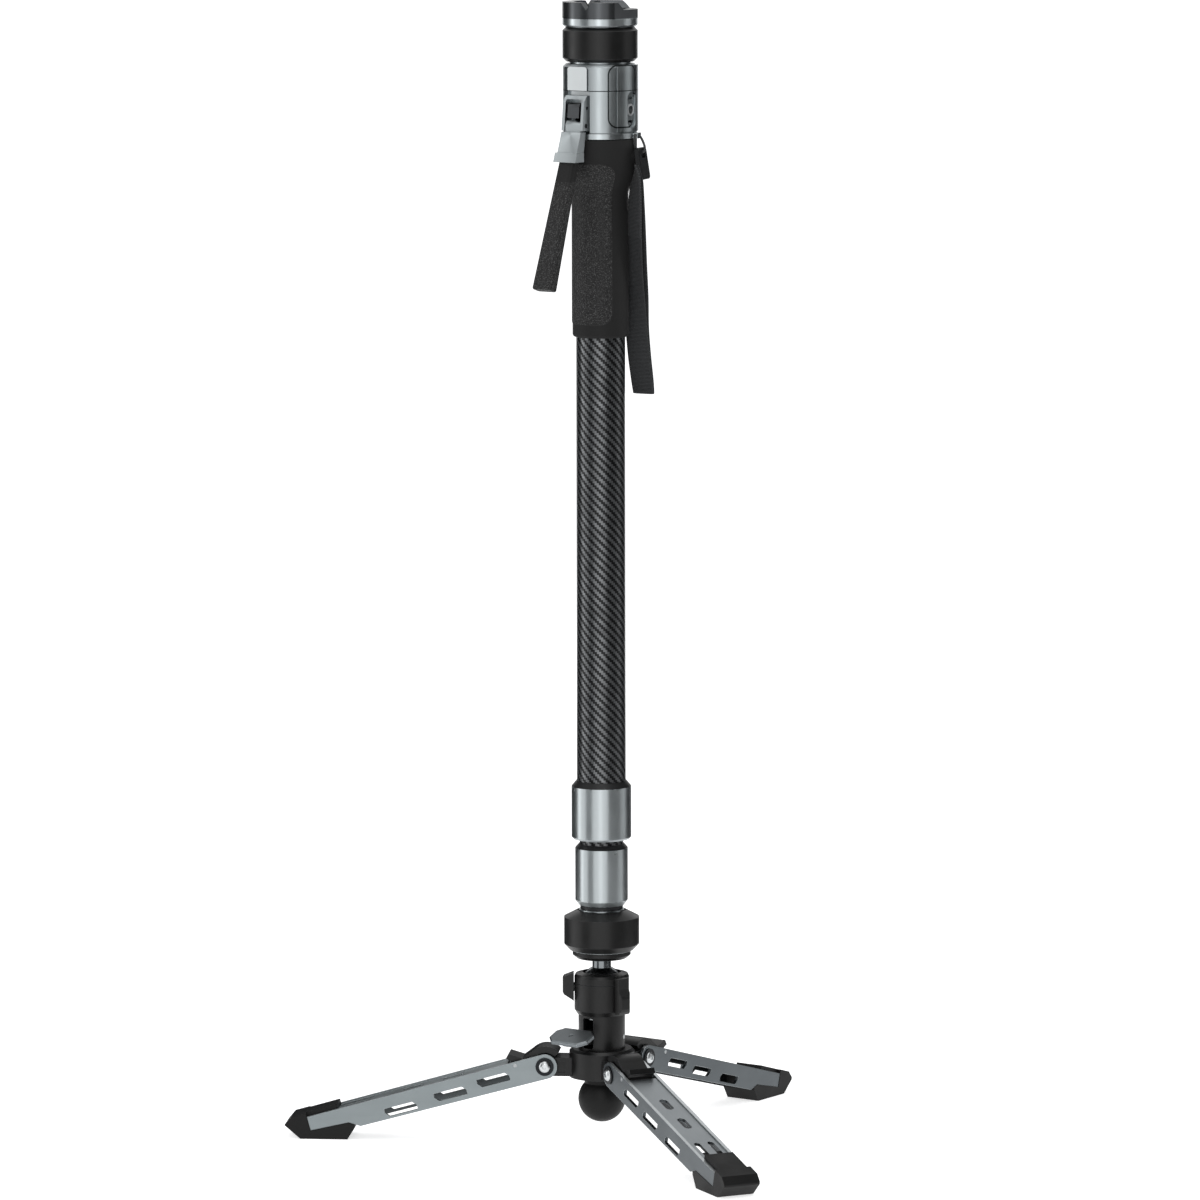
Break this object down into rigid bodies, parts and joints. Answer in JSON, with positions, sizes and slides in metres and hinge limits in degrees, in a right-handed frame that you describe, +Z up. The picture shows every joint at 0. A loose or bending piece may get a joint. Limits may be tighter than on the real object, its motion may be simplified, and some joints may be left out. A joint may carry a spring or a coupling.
{
  "type": "camera monopod",
  "caption": "Telescopic camera monopod on a folding three-legged base with a tilting ball foot, foam grip, squeeze lever, wrist strap and clawed head mount.",
  "frame": {"origin": "the floor point straight below the column, level with the undersides of the feet", "axes": "+Z up along the column, +X to the right and +Y away, seen from the front"},
  "size_m": [0.3402, 0.3738, 0.751],
  "materials": {
    "satin_aluminium": "satin grey anodised",
    "black_anodised": "satin black anodised aluminium",
    "carbon_fibre": "clear-coated twill of carbon fibre",
    "black_rubber": "moulded rubber with a fine grain",
    "grip_foam": "closed-cell foam with a pebbled panel",
    "black_plastic": "moulded satin",
    "slide_plastic": "slippery bearing plastic",
    "polished_steel": "polished",
    "steel": "bright turned steel",
    "black_steel": "black oxide",
    "strap_cord": "braided cord",
    "strap_webbing": "woven polyester webbing"
  },
  "bodies": {
    "base": {"base_hub": "black_anodised", "foot_ball": "black_rubber", "pedestal_tube": "black_anodised", "ball_housing": "black_anodised", "hinge_screws": "steel", "hinge_washers": "black_steel", "pedal_pin": "steel", "pedal_spring": "steel"},
    "pedal": {"pedal_lever": "black_anodised", "pedal_plate": "black_anodised"},
    "clamp": {"clamp_piston": "steel"},
    "tilt_key": {"tilt_knob": "black_anodised"},
    "pan_key": {"pan_knob": "black_anodised"},
    "tilt_fore": {"ball_cup": "slide_plastic"},
    "tilt_side": {"tilt_ball": "polished_steel", "stem_disc": "black_anodised"},
    "column": {"receiver_plug": "satin_aluminium", "receiver_collar": "satin_aluminium", "inner_tube": "carbon_fibre", "inner_tube_guide": "slide_plastic"},
    "ring": {"qr_ring": "black_anodised"},
    "middle": {"mid_tube": "carbon_fibre", "mid_tube_guide": "slide_plastic", "mid_collar": "satin_aluminium", "mid_collar_cap": "black_plastic", "mid_collar_seal": "slide_plastic"},
    "upper": {"outer_tube": "carbon_fibre", "outer_collar": "satin_aluminium", "outer_collar_cap": "black_plastic", "outer_collar_seal": "slide_plastic", "foam_grip": "grip_foam", "strap_ring": "satin_aluminium", "head_body": "black_anodised", "head_cap": "black_anodised", "port_insert": "steel", "lever_bracket": "black_anodised", "lever_pins": "steel", "head_flange": "satin_aluminium", "claw_plate": "black_anodised", "strap_buckle": "black_plastic", "strap_cord": "strap_cord", "strap_webbing": "strap_webbing"},
    "lever": {"lever_arm": "black_anodised", "lever_grip": "black_rubber"},
    "toggle": {"lock_toggle": "satin_aluminium"},
    "rod": {"release_rod": "steel"},
    "band": {"lock_band": "black_anodised"},
    "leg_left": {"leg_channel_left": "satin_aluminium", "leg_foot_left": "black_rubber", "latch_pin_left": "steel"},
    "latch_left": {"leg_latch_left": "black_anodised"},
    "leg_front": {"leg_channel_front": "satin_aluminium", "leg_foot_front": "black_rubber", "latch_pin_front": "steel"},
    "latch_front": {"leg_latch_front": "black_anodised"},
    "leg_back": {"leg_channel_back": "satin_aluminium", "leg_foot_back": "black_rubber", "latch_pin_back": "steel"},
    "latch_back": {"leg_latch_back": "black_anodised"}
  },
  "joints": [
    {"name": "pedal_press", "type": "hinge", "parent": "base", "child": "pedal", "pos_m": [0.00313, 0.00415, 0.07], "axis": [0.7986, -0.6018, 0], "range_deg": [0, 8], "stiffness_Nm_per_rad": 2, "springref_deg": -8.59, "deforming": ["pedal_spring"]},
    {"name": "clamp_slide", "type": "slide", "parent": "base", "child": "clamp", "axis": [0, 0, -1], "range_m": [0, 0.001]},
    {"name": "tilt_key_turn", "type": "hinge", "parent": "base", "child": "tilt_key", "pos_m": [-0.018, 0, 0.1027], "axis": [-1, 0, 0], "range_deg": [-60, 60]},
    {"name": "pan_key_turn", "type": "hinge", "parent": "base", "child": "pan_key", "pos_m": [0.01157, -0.01379, 0.099], "axis": [0.6428, -0.766, 0], "range_deg": [-45, 45]},
    {"name": "tilt_forward", "type": "hinge", "parent": "base", "child": "tilt_fore", "pos_m": [0, 0, 0.1027], "axis": [1, 0, 0], "range_deg": [-20, 20]},
    {"name": "tilt_sideways", "type": "hinge", "parent": "tilt_fore", "child": "tilt_side", "pos_m": [0, 0, 0.1027], "axis": [0, 1, 0], "range_deg": [-20, 20]},
    {"name": "column_pan", "type": "hinge", "parent": "tilt_side", "child": "column", "pos_m": [0, 0, 0.1275], "axis": [0, 0, 1], "continuous": true},
    {"name": "ring_turn", "type": "hinge", "parent": "column", "child": "ring", "pos_m": [0, 0, 0.14], "axis": [0, 0, 1], "range_deg": [0, 45]},
    {"name": "lower_extend", "type": "slide", "parent": "column", "child": "middle", "axis": [0, 0, 1], "range_m": [0, 0.36]},
    {"name": "upper_extend", "type": "slide", "parent": "middle", "child": "upper", "axis": [0, 0, 1], "range_m": [0, 0.35]},
    {"name": "lever_squeeze", "type": "hinge", "parent": "upper", "child": "lever", "pos_m": [-0.01589, -0.02108, 0.6718], "axis": [0.7986, -0.6018, 0], "range_deg": [0, 12], "stiffness_Nm_per_rad": 0.8, "springref_deg": -11.46},
    {"name": "toggle_turn", "type": "hinge", "parent": "upper", "child": "toggle", "pos_m": [-0.01529, -0.02029, 0.6832], "axis": [-0.7986, 0.6018, 0], "range_deg": [0, 25]},
    {"name": "rod_lift", "type": "slide", "parent": "upper", "child": "rod", "axis": [0, 0, 1], "range_m": [0, 0.0045]},
    {"name": "band_turn", "type": "hinge", "parent": "upper", "child": "band", "pos_m": [0, 0, 0.7235], "axis": [0, 0, 1], "range_deg": [0, 60]},
    {"name": "leg_fold_left", "type": "hinge", "parent": "base", "child": "leg_left", "pos_m": [-0.03667, 0.0031, 0.05065], "axis": [-0.0842, -0.9964, 0], "range_deg": [0, 74.6]},
    {"name": "latch_lift_left", "type": "hinge", "parent": "leg_left", "child": "latch_left", "pos_m": [-0.05627, 0.00475, 0.05125], "axis": [-0.0842, -0.9964, 0], "range_deg": [0, 12], "stiffness_Nm_per_rad": 0.2, "springref_deg": -11.46},
    {"name": "leg_fold_front", "type": "hinge", "parent": "base", "child": "leg_front", "pos_m": [0.01565, -0.03331, 0.05065], "axis": [0.9051, 0.4253, 0], "range_deg": [0, 74.6]},
    {"name": "latch_lift_front", "type": "hinge", "parent": "leg_front", "child": "latch_front", "pos_m": [0.02402, -0.0511, 0.05125], "axis": [0.9051, 0.4253, 0], "range_deg": [0, 12], "stiffness_Nm_per_rad": 0.2, "springref_deg": -11.46},
    {"name": "leg_fold_back", "type": "hinge", "parent": "base", "child": "leg_back", "pos_m": [0.02102, 0.03021, 0.05065], "axis": [-0.8209, 0.5711, 0], "range_deg": [0, 74.6]},
    {"name": "latch_lift_back", "type": "hinge", "parent": "leg_back", "child": "latch_back", "pos_m": [0.03225, 0.04635, 0.05125], "axis": [-0.8209, 0.5711, 0], "range_deg": [0, 12], "stiffness_Nm_per_rad": 0.2, "springref_deg": -11.46}
  ],
  "couplings": [
    {"joint": "clamp_slide", "follows": "pedal_press", "m_per_rad": 0.0052},
    {"joint": "rod_lift", "follows": "lever_squeeze", "m_per_rad": 0.02}
  ]
}
